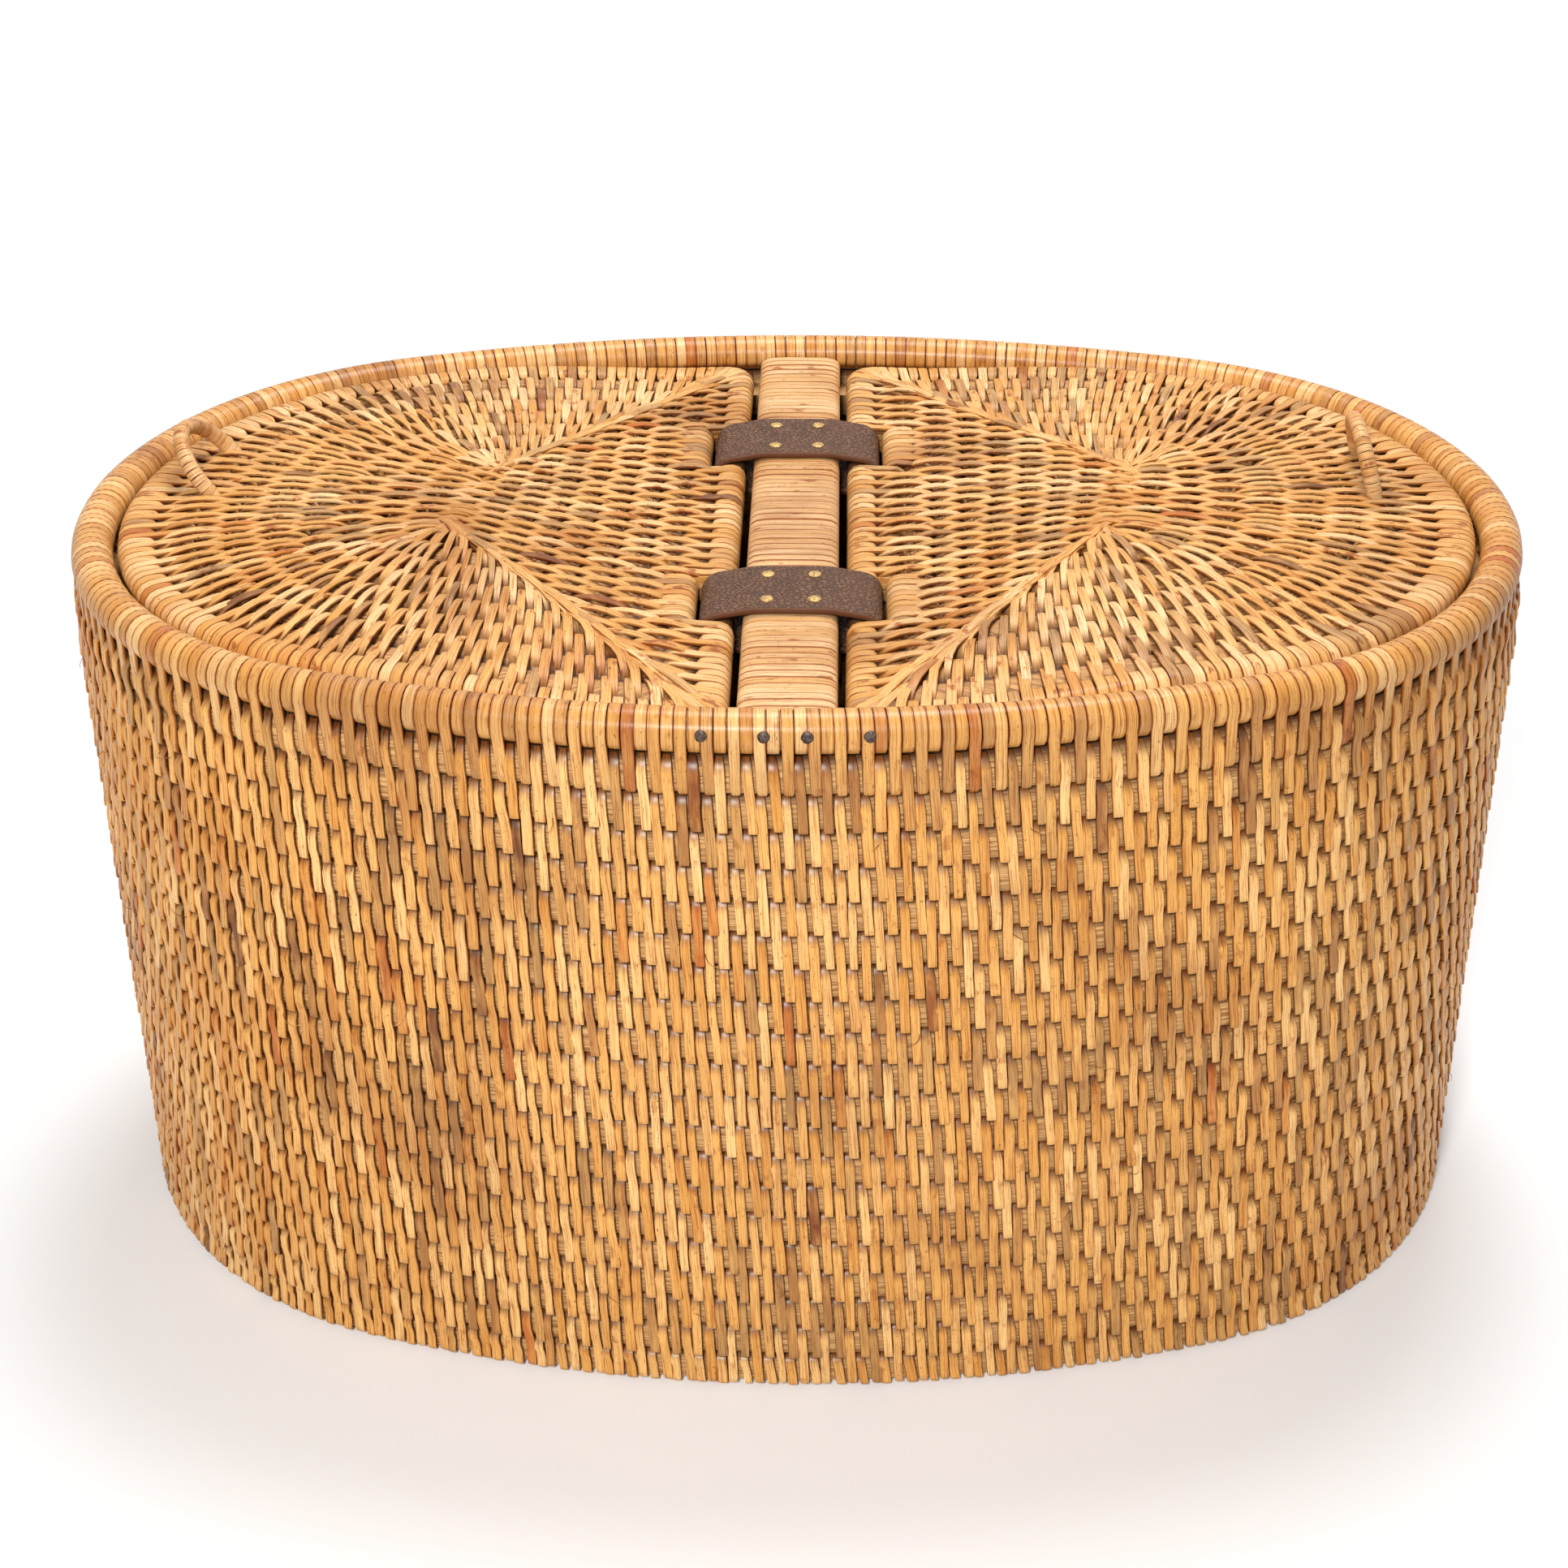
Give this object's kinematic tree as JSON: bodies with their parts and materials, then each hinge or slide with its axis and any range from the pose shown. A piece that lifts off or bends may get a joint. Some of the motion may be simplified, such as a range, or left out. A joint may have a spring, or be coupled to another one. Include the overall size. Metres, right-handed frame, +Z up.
{
  "type": "lidded laundry basket",
  "caption": "Low oval laundry basket of coiled rattan with two half lids that turn on leather strap hinges over a central crossbar, each with a bent rattan handle.",
  "frame": {"origin": "centre of the underside of the floor, on the surface that the basket stands on", "axes": "+X along the oval's long axis, from the left lid to the right lid; +Y from the front to the rear along the crossbar; +Z up"},
  "size_m": [0.61, 0.385, 0.3463],
  "materials": {
    "rattan_wall": "coiled and stitched rattan, satin",
    "rattan_floor": "coiled rattan mat, satin",
    "rattan_lid": "coiled and stitched rattan, satin",
    "rattan_rim": "round pole wrapped in glossy peel",
    "rattan_bar": "peel wrapped closely, glossy",
    "rattan_handle": "bent rattan wrapped in peel",
    "bar_core": "plain slat, hidden under the peel",
    "ledge": "plain bent hoop",
    "strap_leather": "pebbled dark brown leather with a reddish cut edge",
    "tack_brass": "polished, slightly worn",
    "nail_steel": "dark, a little rusty"
  },
  "bodies": {
    "basket": {"base_panel": "rattan_floor", "wall_coil": "rattan_wall", "lid_ledge": "ledge", "rim_pole": "rattan_rim", "rim_nails_front": "nail_steel", "rim_nails_rear": "nail_steel", "crossbar_core": "bar_core", "crossbar_wrap": "rattan_bar", "strap_front": "strap_leather", "strap_rear": "strap_leather", "strap_tacks_front": "tack_brass", "strap_tacks_rear": "tack_brass"},
    "lid_left": {"lid_left_panel": "rattan_lid", "lid_left_hinge_rod": "rattan_lid", "lid_left_handle": "rattan_handle"},
    "lid_right": {"lid_right_panel": "rattan_lid", "lid_right_hinge_rod": "rattan_lid", "lid_right_handle": "rattan_handle"}
  },
  "joints": [
    {"name": "lid_left_hinge", "type": "hinge", "parent": "basket", "child": "lid_left", "pos_m": [-0.028, 0, 0.3095], "axis": [0, 1, 0], "range_deg": [0, 85]},
    {"name": "lid_right_hinge", "type": "hinge", "parent": "basket", "child": "lid_right", "pos_m": [0.028, 0, 0.3095], "axis": [0, -1, 0], "range_deg": [0, 85]}
  ]
}
